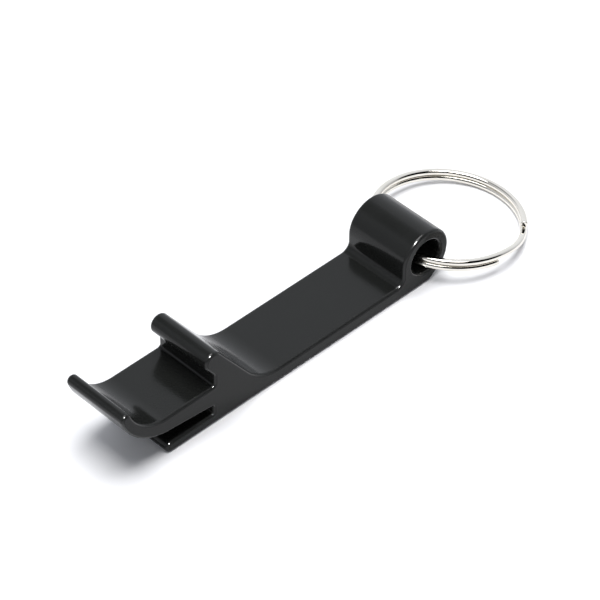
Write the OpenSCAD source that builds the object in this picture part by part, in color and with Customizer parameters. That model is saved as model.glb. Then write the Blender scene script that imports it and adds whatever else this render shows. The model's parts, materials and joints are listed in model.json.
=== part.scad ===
// Keychain bottle opener: one length of an extruded aluminium profile with a split ring
// threaded through the barrel at its end. The profile is drawn in X and Z and runs along Y.
// Origin: on the flat underside, at the middle of the body's length and width. +X points
// from the cap jaw to the barrel, +Z points up out of the jaw. All sizes are in millimetres.

/* [Body] */
// Width of the sawn length of profile, along Y
body_w = 12; // [9:0.5:16]
// Overall length, from the lip of the jaw to the barrel
body_l = 65.5; // [58:0.5:80]
// Thickness of the flat handle
plate_t = 2.4; // [2:0.1:2.8]

/* [Barrel] */
// Outside diameter of the barrel
barrel_d = 9.5; // [9:0.1:10]
// Diameter of the bore that the split ring passes through
bore_d = 5.9; // [5.7:0.1:6.4]
// Height of the barrel's axis above the underside
barrel_z = 5.1; // [4.8:0.1:5.4]
// Radius of the corner where the underside turns up to the barrel
heel_r = 1.8; // [0.9:0.3:2.4]
// Fillet between the handle and the barrel
neck_r = 1.4; // [0.5:0.1:1.8]

/* [Cap jaw] */
// Height of the jaw's floor above the underside
floor_z = 7.2; // [6.8:0.1:7.6]
// Radius inside the hooked lip
lip_in_r = 6.95; // [6.5:0.05:7.4]
// Radius outside the hooked lip
lip_out_r = 10; // [9.7:0.1:10.4]
// How far the outer radius' centre sits behind the inner one's, which thins the lip
lip_shift = 1.25; // [0.8:0.05:1.6]
// Angle that the lip turns through, counted from straight down
lip_turn = 71; // [60:1:85]
// Distance from the lip's outermost point to the jaw's rear wall
jaw_reach = 17.55; // [17:0.05:19]
// Fillet where the rear wall meets the jaw's floor
root_r = 0.4; // [0.2:0.1:1]

/* [Post] */
// Height of the top of the post
post_z = 13.55; // [12.5:0.05:14.5]
// Radius of the post's round end, which is half its thickness
tip_r = 1.6; // [1.3:0.1:1.8]
// How far the round end's centre overhangs the rear wall
tip_lean = 0.05; // [0:0.05:0.6]
// How far the leaning post rises for every 3 mm that it runs back
post_rise = 4; // [3.6:0.1:4.6]
// Radius of the sweep from the post's back down to the handle
sweep_r = 8; // [5:0.1:9]

/* [Tab slot] */
// Thickness of the finger under the slot
finger_t = 1.8; // [1.4:0.05:2.1]
// Height of the slot at its closed end
slot_h = 1.6; // [1.3:0.05:2]
// Distance from the jaw's rear wall back to the slot's closed end
slot_set = 0.3; // [0:0.1:1]
// Length of the finger, from the slot's closed end to its tip
finger_l = 9.2; // [7:0.1:11]

/* [Split ring] */
// Outside diameter of the ring
ring_d = 24.5; // [22:0.5:26]
// Width of the flat wire, measured across the ring's face
wire_w = 1.1; // [0.9:0.1:1.4]
// Thickness of the flat wire, along the ring's axis
wire_t = 0.9; // [0.7:0.05:0.95]
// Distance between the two turns' middles
turn_pitch = 1; // [1:0.05:1.1]
// Distance from the barrel's axis to the ring's centre
ring_reach = 11.2; // [10.8:0.1:11.2]
// How far the ring's middle plane lies under the barrel's axis
ring_drop = 1.35; // [1:0.05:1.4]
// Direction of the wire's lower end, in degrees round the ring from +X
end_low = -96; // [-180:1:180]
// Angle that the wire takes to cross from one turn to the other
cross_angle = 48; // [30:6:72]

/* [Hidden] */

$fn = 96;
lap = 0.3; // how far joined outlines run into each other, so that none only touch
bead = 0.05; // how much fuller the lip's round end is than the metal behind it

// The lip ends on a line out of the inner radius' centre, and its round end sits between
// the distances at which that line crosses the inner and the outer radius
lip_dir = [-sin(lip_turn), -cos(lip_turn)];
lip_far = lip_shift * lip_dir.x + sqrt(lip_out_r ^ 2 - (lip_shift * lip_dir.y) ^ 2);
end_r = (lip_far - lip_in_r) / 2;

// Centres of the jaw's two radii, which share one height, and of the lip's round end
in_c = [end_r + bead - body_l / 2 - lip_dir.x * (lip_in_r + end_r), floor_z + lip_in_r];
out_c = in_c + [lip_shift, 0];
end_c = in_c + (lip_in_r + end_r) * lip_dir;

// Places along X
barrel_x = body_l / 2 - barrel_d / 2;
wall_x = jaw_reach - body_l / 2;
slot_x = wall_x - slot_set;
finger_x = slot_x - finger_l;

// The post leans as a slab with parallel sides. Its back runs from the round end down to
// the handle's level, and its front from the round end down to the jaw's rear wall.
post_slope = atan2(post_rise, 3);
tip_c = [wall_x - tip_lean, post_z - tip_r];
to_back = tip_r * [sin(post_slope), cos(post_slope)];
back_top = tip_c + to_back;
back_foot = [back_top.x + 3 / post_rise * (back_top.y - plate_t), plate_t];
front_top = tip_c - to_back;
front_foot = [wall_x, front_top.y - post_rise / 3 * (wall_x - front_top.x)];

// The heel leaves the barrel where its outline slopes at 3 in 4, and runs straight down
heel_top = [barrel_x, barrel_z] + barrel_d / 2 * [0.6, -0.8];
heel_x = heel_top.x - heel_top.y * 4 / 3;
heel_cut = heel_r / 3;

// The ring leans until its far side rests on the surface that the underside rests on
ring_h = wire_t + turn_pitch;
rest_arm = ring_reach + ring_d / 2;
rest_off = ring_drop + ring_h / 2;
ring_lean = asin(barrel_z / norm([rest_arm, rest_off])) - atan2(rest_off, rest_arm);

// The ring's wire is drawn in steps of this many degrees
ring_step = 6;

// The wedge of metal that rounds an inside corner between two straight edges, whose
// directions away from the corner are a and b
module fillet(corner, a, b, r) {
    half = (b - a) / 2;
    mid = [cos(a + half), sin(a + half)];
    centre = corner + r / sin(half) * mid;
    reach = r / tan(half);
    difference() {
        polygon([
            corner - lap * mid,
            corner + reach * [cos(a), sin(a)],
            centre,
            corner + reach * [cos(b), sin(b)]
        ]);
        translate(centre) circle(r);
    }
}

// Flat handle, and the thinner finger that it continues into under the tab slot
module plate() {
    round_r = finger_t / 2;
    translate([slot_x, 0]) square([barrel_x - slot_x, plate_t]);
    translate([finger_x + round_r, 0]) square([finger_l - round_r + lap, finger_t]);
    translate([finger_x + round_r, round_r]) circle(round_r);
}

// Barrel, its straight side down to the handle, and the rounded heel under its outer side
module barrel() {
    side_x = barrel_x - barrel_d / 2;
    translate([barrel_x, barrel_z]) circle(barrel_d / 2);
    polygon([
        [side_x, 0],
        [heel_x - heel_cut, 0],
        [heel_x + 0.8 * heel_cut, 0.6 * heel_cut],
        heel_top,
        [barrel_x, barrel_z],
        [side_x, barrel_z]
    ]);
    translate([heel_x - heel_cut, heel_r]) circle(heel_r);
    fillet([side_x, plate_t], 90, 180, neck_r);
}

// Tongue: the jaw's floor above, the slot below, and the hooked lip in front
module tongue() {
    difference() {
        union() {
            polygon([
                [out_c.x, out_c.y - lip_out_r],
                [slot_x, finger_t + slot_h],
                [wall_x + lap, finger_t + slot_h],
                [wall_x + lap, floor_z],
                [out_c.x, floor_z]
            ]);
            intersection() {
                translate(out_c) circle(lip_out_r);
                polygon([
                    in_c,
                    in_c + 2 * lip_out_r * lip_dir,
                    [in_c.x - 2 * lip_out_r, 0],
                    [out_c.x + lap, 0],
                    [out_c.x + lap, in_c.y]
                ]);
            }
        }
        translate(in_c) circle(lip_in_r);
        translate([in_c.x, floor_z]) square([wall_x - in_c.x, lip_in_r]);
    }
    translate(end_c) circle(end_r + bead);
}

// Post: the jaw's rear wall, the leaning slab with its round end, and the sweep behind it
module post() {
    polygon([
        [slot_x, 0],
        [back_foot.x, 0],
        back_foot,
        back_top,
        front_top,
        front_foot,
        [wall_x, floor_z - lap],
        [slot_x, finger_t + slot_h]
    ]);
    translate(tip_c) circle(tip_r);
    fillet(back_foot, 0, 180 - post_slope, sweep_r);
    fillet([wall_x, floor_z], 90, 180, root_r);
}

module profile() {
    difference() {
        union() {
            plate();
            barrel();
            tongue();
            post();
        }
        translate([barrel_x, barrel_z]) circle(bore_d / 2);
    }
}

module opener_body() {
    color([0.09, 0.09, 0.1])
        rotate([90, 0, 0])
            linear_extrude(body_w, center = true) profile();
}

// One corner of the wire's cross-section, as distances out from the ring's axis and along it
function wire_corner(i) =
    let(cut = wire_t / 4, w = wire_w / 2, t = wire_t / 2)
    [
        [w, cut - t], [w, t - cut], [w - cut, t], [cut - w, t],
        [-w, t - cut], [-w, cut - t], [cut - w, -t], [w - cut, -t]
    ][i];

// Height of the wire's middle after it has turned through angle a from its lower end: one
// turn below, then a smooth crossing, then the second turn above
function wire_rise(a) =
    let(s = max(0, min(1, (a - 360 + cross_angle) / cross_angle)))
    turn_pitch * (s * s * (3 - 2 * s) - 0.5);

// Flat wire wound clockwise from above through two turns, less the angle of the crossing
module wire_coil() {
    steps = (720 - cross_angle) / ring_step;
    mid_r = (ring_d - wire_w) / 2;
    points = [
        for (k = [0 : steps])
            for (i = [0 : 7])
                let(a = k * ring_step, c = wire_corner(i), dir = end_low - a)
                [(mid_r + c.x) * cos(dir), (mid_r + c.x) * sin(dir), wire_rise(a) + c.y]
    ];
    sides = [
        for (k = [0 : steps - 1])
            for (i = [0 : 7])
                let(j = (i + 1) % 8)
                [8 * k + i, 8 * (k + 1) + i, 8 * (k + 1) + j, 8 * k + j]
    ];
    first_end = [for (i = [0 : 7]) i];
    last_end = [for (i = [7 : -1 : 0]) 8 * steps + i];
    polyhedron(points, concat(sides, [first_end, last_end]), convexity = 8);
}

module split_ring() {
    color([0.82, 0.81, 0.78])
        translate([barrel_x, 0, barrel_z])
            rotate([0, ring_lean, 0])
                translate([ring_reach, 0, -ring_drop]) wire_coil();
}

opener_body();
split_ring();
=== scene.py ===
# %% [markdown]
# # Keychain bottle opener
# A pocket opener is one of the simplest things that a saw and a die can make. Aluminium is
# pushed through a die that has the opener's side view cut in it, the long bar is sawn into
# 12 mm slices, and the slices are tumbled, anodised black and threaded with a split ring.
# So there are two pieces to model, and each is one outline that travels: the body's outline
# travels straight, and the wire's travels round.
#
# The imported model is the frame. It gives the bodies that move, the hinge, and every place.

# %% Load the frame
import json
from math import asin, ceil, cos, degrees, pi, radians, sin, sqrt

import bmesh
import bpy
from mathutils import Matrix, Vector


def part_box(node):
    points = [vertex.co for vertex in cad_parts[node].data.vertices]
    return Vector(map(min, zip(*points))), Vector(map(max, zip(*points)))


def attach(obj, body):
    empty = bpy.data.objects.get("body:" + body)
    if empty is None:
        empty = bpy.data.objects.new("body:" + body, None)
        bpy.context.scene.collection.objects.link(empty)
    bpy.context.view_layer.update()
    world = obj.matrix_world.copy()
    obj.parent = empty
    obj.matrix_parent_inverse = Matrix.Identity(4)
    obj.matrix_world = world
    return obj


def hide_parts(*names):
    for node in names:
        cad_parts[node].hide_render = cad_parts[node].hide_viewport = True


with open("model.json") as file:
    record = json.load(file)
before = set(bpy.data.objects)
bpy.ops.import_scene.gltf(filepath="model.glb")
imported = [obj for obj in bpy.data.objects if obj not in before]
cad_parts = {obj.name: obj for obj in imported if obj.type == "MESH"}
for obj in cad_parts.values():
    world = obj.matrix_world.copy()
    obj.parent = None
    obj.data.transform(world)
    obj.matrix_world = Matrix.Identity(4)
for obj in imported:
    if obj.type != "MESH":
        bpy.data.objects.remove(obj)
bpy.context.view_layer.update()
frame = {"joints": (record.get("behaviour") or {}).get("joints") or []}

# %% [markdown]
# ## Places
# Drawings of small metal goods are in millimetres, so the outlines are drawn in millimetres
# and each finished mesh is shrunk a thousand times once. The places come from the frame: the
# box of the body gives its length, width and height, and the hinge is the barrel's axis.

# %% Read the places that the frame gives
MM = 0.001
body_low, body_high = (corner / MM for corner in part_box("opener_body"))
ring_low, ring_high = (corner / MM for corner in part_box("split_ring"))
hinge = Vector(frame["joints"][0]["pos_m"]) / MM
near_y = body_low.y
body_w = body_high.y - body_low.y
barrel_r = body_high.x - hinge.x
ring_r = (ring_high.y - ring_low.y) / 2
print("body", [round(x, 2) for x in body_high - body_low], "barrel radius", round(barrel_r, 2))

# %% [markdown]
# ## The body's outline
# The outline is straight lines and arcs that run into each other smoothly, because a die
# with a sharp inside corner would crack. It could be typed in as a list of points, but the
# arcs would then be somebody else's arithmetic. Here it is drawn as with a pen: a vertex is
# extruded to draw a line, and spun round a centre to draw an arc.

# %% A pen that draws lines and arcs
ARC_STEP = 4  # degrees of arc for each short edge


def line(mesh, pen, x, z):
    """Draws a straight line from the pen to x, z and returns the new pen."""
    end = bmesh.ops.extrude_vert_indiv(mesh, verts=[pen])["verts"][0]
    end.co.x, end.co.z = x, z
    return end


def arc(mesh, pen, x, z, turn):
    """Draws an arc round x, z through turn degrees, anticlockwise as seen from the front."""
    spun = bmesh.ops.spin(
        mesh, geom=[pen], cent=(x, pen.co.y, z), axis=(0, -1, 0), dvec=(0, 0, 0),
        angle=radians(turn), steps=max(5, ceil(abs(turn) / ARC_STEP)), use_duplicate=False)
    return next(g for g in spun["geom_last"] if isinstance(g, bmesh.types.BMVert))


# %% [markdown]
# The sizes below are those of the real profile: a 2.4 mm handle, a barrel with a 5.9 mm bore,
# a floor to the jaw, a hooked lip that catches the cap's skirt, and a leaning post that
# presses on the cap's top. The lip gets thinner towards its end because its two radii have
# centres 1.25 mm apart.

# %% Sizes of the profile, in millimetres
plate_t = 2.4
bore_r = 2.95
heel_r, neck_r, root_r = 1.8, 1.4, 0.4
floor_z = 7.2
lip_in_r, lip_out_r, lip_shift, lip_turn = 6.95, 10, 1.25, 71
jaw_reach = 17.55
tip_r, tip_lean, sweep_r = 1.6, 0.05, 8
finger_t, slot_h, slot_set, finger_l, slot_r = 1.8, 1.6, 0.3, 9.2, 0.3

wall_x = body_low.x + jaw_reach
slot_x = wall_x - slot_set
slot_top = finger_t + slot_h
side_x = hinge.x - barrel_r
lip_dir = Vector((-sin(radians(lip_turn)), 0, -cos(radians(lip_turn))))
lip_far = lip_shift * lip_dir.x + sqrt(lip_out_r**2 - (lip_shift * lip_dir.z)**2)
end_r = (lip_far - lip_in_r) / 2
lip_in = Vector((body_low.x + end_r - lip_dir.x * (lip_in_r + end_r), 0, floor_z + lip_in_r))
lip_out_x = lip_in.x + lip_shift
lip_end = lip_in + (lip_in_r + end_r) * lip_dir
tip = Vector((wall_x - tip_lean, 0, body_high.z - tip_r))
print("lip end radius", round(end_r, 3), "rear wall at x", round(wall_x, 2))

# %% [markdown]
# The pen goes round once, from the outermost point of the barrel over its top, along the
# handle, up the post's back, down into the jaw, round the lip, into the can-tab slot, round
# the finger and back along the underside. The post leans at 4 in 3, which is 53.13 degrees,
# and the heel at 3 in 4, so the normals of both are made of 0.6 and 0.8.
#
# The heel's arc turns 16 degrees further than its line leans, and the last arc stops 16
# degrees short of the start, where the filled face ends in a flat 1.3 mm long. Both stay
# within a tenth of a millimetre of the true round.

# %% Draw the outline
SLOPE = degrees(asin(0.8))
body_mesh = bmesh.new()
start = bmesh.ops.create_vert(body_mesh, co=(body_high.x, near_y, hinge.z))["vert"][0]

pen = arc(body_mesh, start, hinge.x, hinge.z, 180)
pen = line(body_mesh, pen, side_x, plate_t + neck_r)
pen = arc(body_mesh, pen, side_x - neck_r, plate_t + neck_r, -90)

back_top = tip + tip_r * Vector((0.8, 0, 0.6))
foot_x = back_top.x + 0.75 * (back_top.z - plate_t)
sweep_x = foot_x + sweep_r / 2  # the tangent of half the slope's angle is a half
pen = line(body_mesh, pen, sweep_x, plate_t)
pen = arc(body_mesh, pen, sweep_x, plate_t + sweep_r, -SLOPE)
pen = line(body_mesh, pen, back_top.x, back_top.z)
pen = arc(body_mesh, pen, tip.x, tip.z, 180)

front_top = tip - tip_r * Vector((0.8, 0, 0.6))
crook_z = front_top.z - (wall_x - front_top.x) * 4 / 3
CROOK_R = 1.2
crook = CROOK_R / 3  # the tangent of half the angle that the wall leans by is a third
pen = line(body_mesh, pen, wall_x - 0.6 * crook, crook_z + 0.8 * crook)
pen = arc(body_mesh, pen, wall_x - CROOK_R, crook_z - crook, SLOPE - 90)
pen = line(body_mesh, pen, wall_x, floor_z + root_r)
pen = arc(body_mesh, pen, wall_x - root_r, floor_z + root_r, -90)
pen = line(body_mesh, pen, lip_in.x, floor_z)
pen = arc(body_mesh, pen, lip_in.x, lip_in.z, -lip_turn)
pen = arc(body_mesh, pen, lip_end.x, lip_end.z, 180)
print("outline so far", len(body_mesh.verts), "vertices, up to the lip's end")

# %% Draw the lip's outer radius, the slot, the finger and the heel
out_turn = degrees(Vector((0, -1)).angle(Vector((pen.co.x - lip_out_x, pen.co.z - lip_in.z))))
pen = arc(body_mesh, pen, lip_out_x, lip_in.z, out_turn)
pen = line(body_mesh, pen, slot_x - slot_r, slot_top)
pen = arc(body_mesh, pen, slot_x - slot_r, slot_top - slot_r, -90)
pen = line(body_mesh, pen, slot_x, finger_t + slot_r)
pen = arc(body_mesh, pen, slot_x - slot_r, finger_t + slot_r, -90)
pen = line(body_mesh, pen, slot_x - finger_l + finger_t / 2, finger_t)
pen = arc(body_mesh, pen, slot_x - finger_l + finger_t / 2, finger_t / 2, 180)

heel_top = hinge + barrel_r * Vector((0.6, 0, -0.8))
heel_x = heel_top.x - heel_top.z * 4 / 3 - heel_r / 3
pen = line(body_mesh, pen, heel_x, 0)
pen = arc(body_mesh, pen, heel_x, heel_r, SLOPE)
pen = line(body_mesh, pen, heel_top.x, heel_top.z)
pen = arc(body_mesh, pen, hinge.x, hinge.z, 90 - SLOPE)
gap = (pen.co - start.co).length
print("outline", len(body_mesh.verts), "vertices, and a closing flat of", round(gap, 2), "mm")

# %% [markdown]
# ## The bore
# A face in Blender can't have a hole in it. The bore is drawn as two half circles and joined
# to the outline by two short seams at the barrel's widest height, so that the side of the
# opener becomes two faces: the top half of the barrel, and all the rest.

# %% Draw the bore and fill the two faces
bore = bmesh.ops.create_vert(body_mesh, co=(hinge.x + bore_r, near_y, hinge.z))["vert"][0]
bore_left = arc(body_mesh, bore, hinge.x, hinge.z, 180)
arc(body_mesh, bore_left, hinge.x, hinge.z, 180)
bmesh.ops.remove_doubles(body_mesh, verts=body_mesh.verts[:], dist=0.002)


def at(x, z):
    """The vertex of the body's outline nearest to x, z."""
    return min(body_mesh.verts, key=lambda v: (v.co.x - x)**2 + (v.co.z - z)**2)


seams = []
for outer, inner in ((barrel_r, bore_r), (-barrel_r, -bore_r)):
    ends = [at(hinge.x + outer, hinge.z), at(hinge.x + inner, hinge.z)]
    seams += bmesh.ops.contextual_create(body_mesh, geom=ends)["edges"]
upper = [e for e in body_mesh.edges
         if all(v.co.x > side_x - 0.01 and v.co.z > hinge.z - 0.01 for v in e.verts)]
lower = [e for e in body_mesh.edges if e not in upper] + seams
for loop in (upper, lower):
    bmesh.ops.contextual_create(body_mesh, geom=loop)
print("side faces", [len(f.verts) for f in body_mesh.faces])

# %% [markdown]
# ## Slice and tumble
# The two faces are extruded by the width of the slice. Tumbling wears the sawn rims round,
# which is a bevel along every edge between a side and a wall. The rim is half a millimetre,
# wide enough to show as a dark line beside each pale flat, and it catches the small bright
# points of light on this opener. Each rim vertex is also marked with how near it is to the
# middle of the bevel, for the finish to use.

# %% Extrude the slice and round its rims
RIM_R = 0.5
RIM_SEGMENTS = 8
grown = bmesh.ops.extrude_face_region(body_mesh, geom=body_mesh.faces[:])["geom"]
far_side = [g for g in grown if isinstance(g, bmesh.types.BMVert)]
bmesh.ops.translate(body_mesh, verts=far_side, vec=(0, body_w, 0))
bmesh.ops.recalc_face_normals(body_mesh, faces=body_mesh.faces[:])
rims = [e for e in body_mesh.edges
        if sum(abs(f.normal.y) > 0.9 for f in e.link_faces) == 1]
bmesh.ops.bevel(
    body_mesh, geom=rims, offset=RIM_R, offset_type="OFFSET", segments=RIM_SEGMENTS,
    profile=0.5, affect="EDGES", clamp_overlap=False, material=-1)
rim_mark = body_mesh.verts.layers.float.new("rim")
for v in body_mesh.verts:
    into = min(max((abs(v.co.y) - body_w / 2 + RIM_R) / RIM_R, 0), 1)
    v[rim_mark] = 4 * into * (1 - into)
print("rims", len(rims), "body faces", len(body_mesh.faces))


# %% [markdown]
# ## From bmesh to a piece
# Both pieces are finished in the same way. The mesh is shrunk to metres, its faces are made
# smooth, and a Weighted Normal modifier keeps the big flats flat right up to the arcs, which
# matters on a glossy surface: without it a reflection bends where a flat meets an arc.

# %% Finish a piece
def finish_piece(name, mesh, body, node):
    """Makes an object of the bmesh, and lets it ride on the body in place of the CAD node."""
    bmesh.ops.scale(mesh, vec=(MM, MM, MM), verts=mesh.verts[:])
    for face in mesh.faces:
        face.smooth = True
    data = bpy.data.meshes.new(name)
    mesh.to_mesh(data)
    mesh.free()
    piece = bpy.data.objects.new(name, data)
    bpy.context.scene.collection.objects.link(piece)
    normals = piece.modifiers.new("flat flats", "WEIGHTED_NORMAL")
    normals.keep_sharp = True
    normals.weight = 100
    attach(piece, body)
    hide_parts(node)
    return piece


body = finish_piece("extruded_body", body_mesh, "opener", "opener_body")
print("extruded_body", len(body.data.polygons), "faces")

# %% [markdown]
# ## The split ring
# A split ring is flat spring wire wound through two turns. The wire starts on the lower
# level, goes once round, crosses up to the upper level, and goes round again on top of
# itself. Its ends lie at either side of the crossing, so that over the crossing the ring is
# one wire thick. A curve with a bevel profile could draw it, but its section would twist, so
# the wire's own section is spun: a flat spin for a turn, and a climbing one for the crossing.

# %% Sizes of the ring, in millimetres
wire_w, wire_t, wire_edge = 1.1, 0.9, 0.4
turn_pitch = 1.0
ring_reach, ring_drop = 11.2, 1.35
end_low, cross_angle = -96, 48
SPIN_STEP = 3  # degrees of turn for each short length of wire
mid_r = ring_r - wire_w / 2
print("ring", 2 * round(ring_r, 3), "mm across, wire", wire_w, "x", wire_t)

# %% Make the wire's section and put it at the lower end
wire_mesh = bmesh.new()
bmesh.ops.create_grid(wire_mesh, x_segments=1, y_segments=1, size=0.5)
bmesh.ops.scale(wire_mesh, vec=(wire_w, wire_t, 1), verts=wire_mesh.verts[:])
bmesh.ops.bevel(
    wire_mesh, geom=wire_mesh.verts[:], offset=wire_edge, offset_type="OFFSET", segments=4,
    profile=0.5, affect="VERTICES", clamp_overlap=True, material=-1)
upright = Matrix.Rotation(pi / 2, 4, "X")
lower_turn = Matrix.Translation((mid_r, 0, -turn_pitch / 2))
to_start = Matrix.Rotation(radians(end_low), 4, "Z") @ lower_turn @ upright
bmesh.ops.transform(wire_mesh, matrix=to_start, verts=wire_mesh.verts[:])
print("wire section", len(wire_mesh.verts), "vertices")


# %% Spin the section along the wire
def spin_on(geom, angle, steps, climb):
    """Carries the section clockwise round the ring's axis, climbing as it goes."""
    spun = bmesh.ops.spin(
        wire_mesh, geom=geom, cent=(0, 0, 0), axis=(0, 0, -1), dvec=(0, 0, climb / steps),
        angle=radians(angle), steps=steps, use_duplicate=False)
    return spun["geom_last"]


def eased(share):
    """How much of the crossing's climb is done after a share of its angle."""
    return share * share * (3 - 2 * share)


flat = 360 - cross_angle
crossing = cross_angle // SPIN_STEP
section = wire_mesh.verts[:] + wire_mesh.edges[:] + wire_mesh.faces[:]
section = spin_on(section, flat, flat // SPIN_STEP, 0)
for k in range(crossing):
    climb = turn_pitch * (eased((k + 1) / crossing) - eased(k / crossing))
    section = spin_on(section, SPIN_STEP, 1, climb)
section = spin_on(section, flat, flat // SPIN_STEP, 0)
bmesh.ops.recalc_face_normals(wire_mesh, faces=wire_mesh.faces[:])
caps = [f for f in wire_mesh.faces if len(f.verts) > 4]
print("wire", len(wire_mesh.faces), "faces,", len(caps), "ends")

# %% [markdown]
# The wire is sheared to length, so its ends are flat with a slightly broken edge. The coil is
# then leant about the barrel's axis until its far side rests on the table, as the packed
# model has it.

# %% Break the ends' edges, and lean the ring into place
BROKEN_EDGE = 0.08
bmesh.ops.bevel(
    wire_mesh, geom=list({e for f in caps for e in f.edges}), offset=BROKEN_EDGE,
    offset_type="OFFSET", segments=2, profile=0.5, affect="EDGES", clamp_overlap=True, material=-1)
rest_arm = Vector((ring_reach + ring_r, ring_drop + (wire_t + turn_pitch) / 2))
ring_lean = asin(hinge.z / rest_arm.length) - Vector((1, 0)).angle(rest_arm)
lean = Matrix.Translation(hinge) @ Matrix.Rotation(ring_lean, 4, "Y")
place = lean @ Matrix.Translation((ring_reach, 0, -ring_drop))
bmesh.ops.transform(wire_mesh, matrix=place, verts=wire_mesh.verts[:])
ring = finish_piece("split_key_ring", wire_mesh, "ring", "split_ring")
print("split_key_ring", len(ring.data.polygons), "faces, leaning", round(degrees(ring_lean), 2))

# %% [markdown]
# ## Finishes
# A finish is a small tree of nodes. One helper adds a node, and colours are written as the
# hex values that a colour chart gives, which one function turns to linear light.


# %% Helpers for finishes
def linear(hex_colour):
    """An sRGB hex colour as linear red, green, blue and a full alpha."""
    channels = [int(hex_colour[i:i + 2], 16) / 255 for i in (1, 3, 5)]
    return [c / 12.92 if c <= 0.04045 else ((c + 0.055) / 1.055)**2.4 for c in channels] + [1]


def add_node(tree, kind, settings=None, links=None, **attributes):
    """Adds a node to the tree, sets its sockets' values, and links outputs into others."""
    node = tree.nodes.new(kind)
    for name, value in attributes.items():
        setattr(node, name, value)
    for socket, value in (settings or {}).items():
        node.inputs[socket].default_value = value
    for socket, output in (links or {}).items():
        tree.links.new(output, node.inputs[socket])
    return node


def new_material(name):
    """An empty material with nodes, its tree and its output node."""
    material = bpy.data.materials.new(name)
    material.use_nodes = True
    material.node_tree.nodes.clear()
    output = material.node_tree.nodes.new("ShaderNodeOutputMaterial")
    return material, material.node_tree, output


# %% [markdown]
# ### Black anodised aluminium
# Anodising grows a thin clear oxide on the metal and dyes it. The eye sees a deep black with
# a glassy skin, so it is a dielectric over near-black and not a bare metal. Under the skin
# are the die's drawing lines, which run along the extrusion and so across the opener, and
# the tumbler's fine peening. On the rims a trace of bare metal shows through the dye.
#
# The sawn sides have the same dye. They get a copy of the material which mirrors half as much,
# and that is painted shade: it darkens the sides, which mirror the table just beside the body,
# where the table lies in shade. It is a copy because a strength of mirroring that changes over one
# material is lost in an export.

# %% Black anodised aluminium
def black_anodised_aluminium(name, skin):
    """Dyed oxide on aluminium; skin is how strongly its surface mirrors."""
    material, tree, output = new_material(name)
    coord = add_node(tree, "ShaderNodeTexCoord").outputs["Object"]
    # Drawing lines a tenth of a millimetre apart and as long as the slice is wide.
    lines_at = add_node(tree, "ShaderNodeMapping", {"Scale": (9000, 60, 9000)},
                        {"Vector": coord}).outputs["Vector"]
    lines = add_node(tree, "ShaderNodeTexNoise", {"Scale": 1.0, "Detail": 2.0},
                     {"Vector": lines_at}).outputs["Fac"]
    # Peening dimples are about 0.4 mm, and very shallow.
    peening = add_node(tree, "ShaderNodeTexNoise", {"Scale": 2500.0, "Detail": 1.0},
                       {"Vector": coord}).outputs["Fac"]
    # Clouds of slightly uneven sheen, 4 mm across.
    clouds = add_node(tree, "ShaderNodeTexNoise", {"Scale": 250.0, "Detail": 3.0},
                      {"Vector": coord}).outputs["Fac"]
    # The rims are rubbed down to a twenty-fifth part of bare metal.
    rubbed = add_node(tree, "ShaderNodeAttribute", attribute_name="rim").outputs["Fac"]
    bare = add_node(tree, "ShaderNodeMapRange", {"To Max": 0.04},
                    {"Value": rubbed}).outputs["Result"]
    black = add_node(tree, "ShaderNodeMix", {"A": linear("#181918"), "B": linear("#8a8a8c")},
                     {"Factor": bare}, data_type="RGBA")
    rough = add_node(tree, "ShaderNodeMapRange",
                     {"From Min": 0.3, "From Max": 0.7, "To Min": 0.13, "To Max": 0.2},
                     {"Value": clouds}).outputs["Result"]
    drawn = add_node(tree, "ShaderNodeBump", {"Strength": 0.12, "Distance": 0.00002},
                     {"Height": lines}).outputs["Normal"]
    dimpled = add_node(tree, "ShaderNodeBump", {"Strength": 0.06, "Distance": 0.0001},
                       {"Height": peening, "Normal": drawn}).outputs["Normal"]
    shader = add_node(tree, "ShaderNodeBsdfPrincipled",
                      {"IOR": 1.32, "Specular IOR Level": skin},
                      {"Base Color": black.outputs["Result"], "Metallic": bare,
                       "Roughness": rough, "Normal": dimpled})
    tree.links.new(shader.outputs["BSDF"], output.inputs["Surface"])
    return material


# The second skin is painted shade: the sides mirror half as much, for the shaded table that they
# mirror.
DIE_SKIN, SHADED_SIDE_SKIN = 0.5, 0.25
body.data.materials.append(black_anodised_aluminium("black_anodised_aluminium", DIE_SKIN))
body.data.materials.append(black_anodised_aluminium("black_anodised_aluminium_shaded_sides", SHADED_SIDE_SKIN))
# The faces that look along the width, the sawn sides, take the copy with the painted shade.
for face in body.data.polygons:
    face.material_index = int(abs(face.normal.y) > 0.9)
sawn = sum(face.material_index for face in body.data.polygons)
print("finish on", body.name, [m.name for m in body.data.materials], "sawn faces", sawn)

# %% [markdown]
# ### Bright nickel plate
# The ring is hard spring steel with bright nickel over it. Nickel is a slightly warm white
# metal, and the plate copies the drawn wire under it, so the polish has faint lines that run
# round the ring. The pattern is centred on the ring's own axis by the Mapping node.

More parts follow.
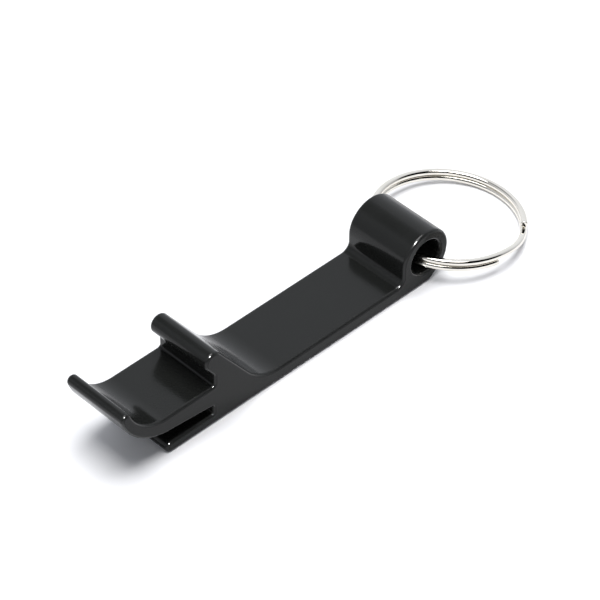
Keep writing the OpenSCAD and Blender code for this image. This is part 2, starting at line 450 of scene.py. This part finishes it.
# %% Bright nickel plate
def bright_nickel_plate(centre, lean_angle):
    """Warm white metal; the two arguments put its drawing lines round the ring's axis."""
    material, tree, output = new_material("bright_nickel_plate")
    coord = add_node(tree, "ShaderNodeTexCoord").outputs["Object"]
    turn = Matrix.Rotation(-lean_angle, 3, "Y")
    on_ring = add_node(tree, "ShaderNodeMapping",
                       {"Location": -(turn @ centre), "Rotation": (0, -lean_angle, 0)},
                       {"Vector": coord}).outputs["Vector"]
    # Drawing lines round the ring, a tenth of a millimetre apart.
    lines = add_node(tree, "ShaderNodeTexWave",
                     {"Scale": 3000.0, "Distortion": 2.0, "Detail": 2.0, "Detail Scale": 2.0},
                     {"Vector": on_ring}, wave_type="RINGS", rings_direction="Z").outputs["Fac"]
    haze = add_node(tree, "ShaderNodeTexNoise", {"Scale": 400.0, "Detail": 3.0},
                    {"Vector": on_ring}).outputs["Fac"]
    rough = add_node(tree, "ShaderNodeMapRange",
                     {"From Min": 0.3, "From Max": 0.7, "To Min": 0.02, "To Max": 0.05},
                     {"Value": haze}).outputs["Result"]
    warm = add_node(tree, "ShaderNodeMix", {"A": linear("#dedad0"), "B": linear("#eae7e0")},
                    {"Factor": haze}, data_type="RGBA")
    drawn = add_node(tree, "ShaderNodeBump", {"Strength": 0.05, "Distance": 0.00001},
                     {"Height": lines}).outputs["Normal"]
    shader = add_node(tree, "ShaderNodeBsdfPrincipled", {"Metallic": 1.0},
                      {"Base Color": warm.outputs["Result"], "Roughness": rough,
                       "Normal": drawn})
    tree.links.new(shader.outputs["BSDF"], output.inputs["Surface"])
    return material


ring_centre = place.translation * MM
ring.data.materials.append(bright_nickel_plate(ring_centre, ring_lean))
print("finish on", ring.name, "centred at", [round(x, 4) for x in ring_centre])

# %% [markdown]
# ## The studio
# A gloss black shows only what it mirrors, so small black goods are lit by what stands round
# them more than by lamps. The table is white. It is wide, so that it reaches past every view.

# %% White table
table_mesh = bmesh.new()
TABLE_HALF = 4  # metres
bmesh.ops.create_grid(table_mesh, x_segments=1, y_segments=1, size=TABLE_HALF)
table_data = bpy.data.meshes.new("white_table")
table_mesh.to_mesh(table_data)
table_mesh.free()
table = bpy.data.objects.new("white_table", table_data)
bpy.context.scene.collection.objects.link(table)

# Matt white card, whose fibres are about a millimetre apart.
white_card, card_tree, card_output = new_material("white_card")
card_coord = add_node(card_tree, "ShaderNodeTexCoord").outputs["Object"]
card_grain = add_node(card_tree, "ShaderNodeTexNoise", {"Scale": 900.0, "Detail": 2.0},
                      {"Vector": card_coord}).outputs["Fac"]
card_bump = add_node(card_tree, "ShaderNodeBump", {"Strength": 0.02, "Distance": 0.0001},
                     {"Height": card_grain}).outputs["Normal"]
card = add_node(card_tree, "ShaderNodeBsdfPrincipled",
                {"Base Color": linear("#f4f4f6"), "Roughness": 0.7, "IOR": 1.3},
                {"Normal": card_bump})
card_tree.links.new(card.outputs["BSDF"], card_output.inputs["Surface"])
table_data.materials.append(white_card)
print("table of", table_data.materials[0].name)

# %% [markdown]
# The walls are pale, and brightest at the back right, which is what the handle and the sweep
# mirror. A soft shade just behind overhead puts the darker band along the barrel and the
# post. A black flag in front, round the camera, makes the dark lines on the tumbled rims and
# on the ring's wire. The shade and the flag are each a round soft patch of darkness.

# %% Pale surroundings with a shade and a flag
scene = bpy.context.scene
scene.view_settings.view_transform = "Standard"
world = bpy.data.worlds.new("white_studio")
scene.world = world
world.use_nodes = True
studio = world.node_tree
background = studio.nodes["Background"]
background.inputs["Color"].default_value = linear("#f6f9ff")
sky = add_node(studio, "ShaderNodeTexCoord").outputs["Generated"]


def soft_patch(direction, outer, inner, value):
    """A factor that is value within inner degrees of a direction, and 1 beyond outer."""
    nearness = add_node(studio, "ShaderNodeVectorMath", {1: direction}, {0: sky},
                        operation="DOT_PRODUCT").outputs["Value"]
    return add_node(studio, "ShaderNodeMapRange",
                    {"From Min": cos(radians(outer)), "From Max": cos(radians(inner)),
                     "To Min": 1.0, "To Max": value},
                    {"Value": nearness}, interpolation_type="SMOOTHSTEP").outputs["Result"]


back_right = add_node(studio, "ShaderNodeVectorMath", {1: (0.45, 0.87, 0.2)}, {0: sky},
                      operation="DOT_PRODUCT").outputs["Value"]
walls = add_node(studio, "ShaderNodeMapRange",
                 {"From Min": -0.6, "From Max": 0.9, "To Min": 0.25, "To Max": 1.1},
                 {"Value": back_right}).outputs["Result"]
shade = soft_patch((-0.04, 0.53, 0.847), 30, 4, 0.35)
flag = soft_patch((0, -0.695, 0.719), 45.6, 35.9, 0.01)
shaded = add_node(studio, "ShaderNodeMath", None, {0: walls, 1: shade},
                  operation="MULTIPLY").outputs["Value"]
flagged = add_node(studio, "ShaderNodeMath", None, {0: shaded, 1: flag},
                   operation="MULTIPLY").outputs["Value"]
studio.links.new(flagged, background.inputs["Strength"])
print("surroundings of", len(studio.nodes), "nodes")

# %% [markdown]
# One softbox straight above lights the table, and is small enough that no wall of the opener
# mirrors it. The sparkle on the rims is the mirror image of a small strong lamp at the front.
# It would spoil the table and put spots on the ring, so it lights only the body, and only in
# its gloss.

# %% Lamps
def lamp(name, direction, distance, size, power, colour):
    """A square lamp that looks at the opener's middle from a direction."""
    data = bpy.data.lights.new(name, "AREA")
    data.size, data.energy, data.color = size, power, linear(colour)[:3]
    light = bpy.data.objects.new(name, data)
    outward = Vector(direction).normalized()
    light.location = outward * distance
    light.rotation_euler = outward.to_track_quat("Z", "Y").to_euler()
    scene.collection.objects.link(light)
    return light


lamp("overhead_softbox", (0, 0, 1), 0.9, 0.6, 9.5, "#ffffff")
sparkle = lamp("sparkle_lamp", (-0.19, -0.6, 0.77), 0.7, 0.05, 40, "#ffffff")
sparkle.visible_diffuse = False
sparkled = bpy.data.collections.new("lit_by_sparkle_lamp")
sparkled.objects.link(body)
sparkle.light_linking.receiver_collection = sparkled

# %% [markdown]
# ## The camera
# A long lens from far away flattens the view, as catalogue pictures do. The camera looks down
# at the opener from its front left, over the jaw, with the ring at the top right.

# %% Camera
azimuth, elevation = radians(-44.02), radians(42.46)
aim = Vector((11.7, 4.4, 0)) * MM
back = Vector((cos(elevation) * sin(azimuth), -cos(elevation) * cos(azimuth), sin(elevation)))
CAMERA_DISTANCE = 492.9  # millimetres
camera_data = bpy.data.cameras.new("camera")
camera_data.lens = 196.9
camera_data.sensor_width = 36
camera_data.clip_start = 0.01
camera = bpy.data.objects.new("camera", camera_data)
camera.location = aim + CAMERA_DISTANCE * MM * back
camera.rotation_euler = back.to_track_quat("Z", "Y").to_euler()
scene.collection.objects.link(camera)
scene.camera = camera
print("camera at", [round(x, 4) for x in camera.location])
